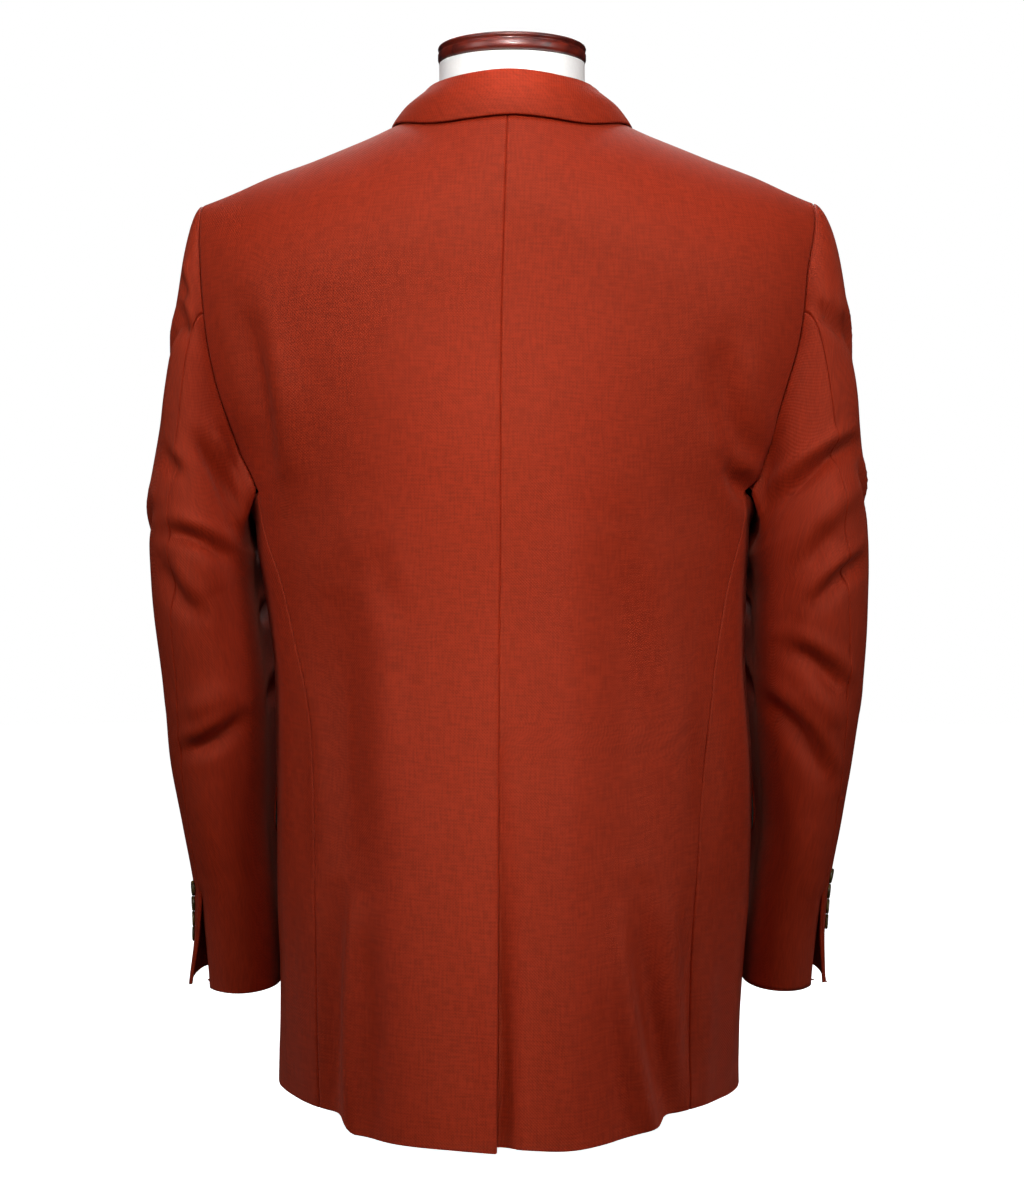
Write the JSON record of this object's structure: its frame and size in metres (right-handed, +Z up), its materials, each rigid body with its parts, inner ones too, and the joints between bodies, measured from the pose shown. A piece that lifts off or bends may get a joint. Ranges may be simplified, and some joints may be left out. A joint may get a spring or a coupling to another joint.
{
  "type": "sport coat on a dress form",
  "caption": "Single-breasted sport coat with notched lapels, flap pockets, two-piece sleeves and a centre back vent, worn by a limbless dress form with a turned cap.",
  "frame": {"origin": "centre of the flat underside of the dress form's base", "axes": "+Z up, the back of the coat faces +Y, the wearer's left is +X"},
  "size_m": [0.5656, 0.2883, 0.8535],
  "materials": {
    "wool": "plain-weave worsted wool",
    "horn": "polished horn",
    "jersey": "white cotton jersey",
    "mahogany": "lacquered"
  },
  "bodies": {
    "root": {"back_left": "wool", "back_right": "wool", "side_left": "wool", "side_right": "wool", "front_left": "wool", "front_right": "wool", "lapel_left": "wool", "lapel_right": "wool", "collar": "wool", "sleeve_top_left": "wool", "sleeve_top_right": "wool", "sleeve_under_left": "wool", "sleeve_under_right": "wool", "flap_left": "wool", "flap_right": "wool", "button_front_1": "horn", "button_front_2": "horn", "button_cuff_left_1": "horn", "button_cuff_left_2": "horn", "button_cuff_left_3": "horn", "button_cuff_left_4": "horn", "button_cuff_right_1": "horn", "button_cuff_right_2": "horn", "button_cuff_right_3": "horn", "button_cuff_right_4": "horn", "form_torso": "jersey", "form_neck": "jersey", "form_cap": "mahogany", "form_base": "mahogany"}
  },
  "joints": []
}
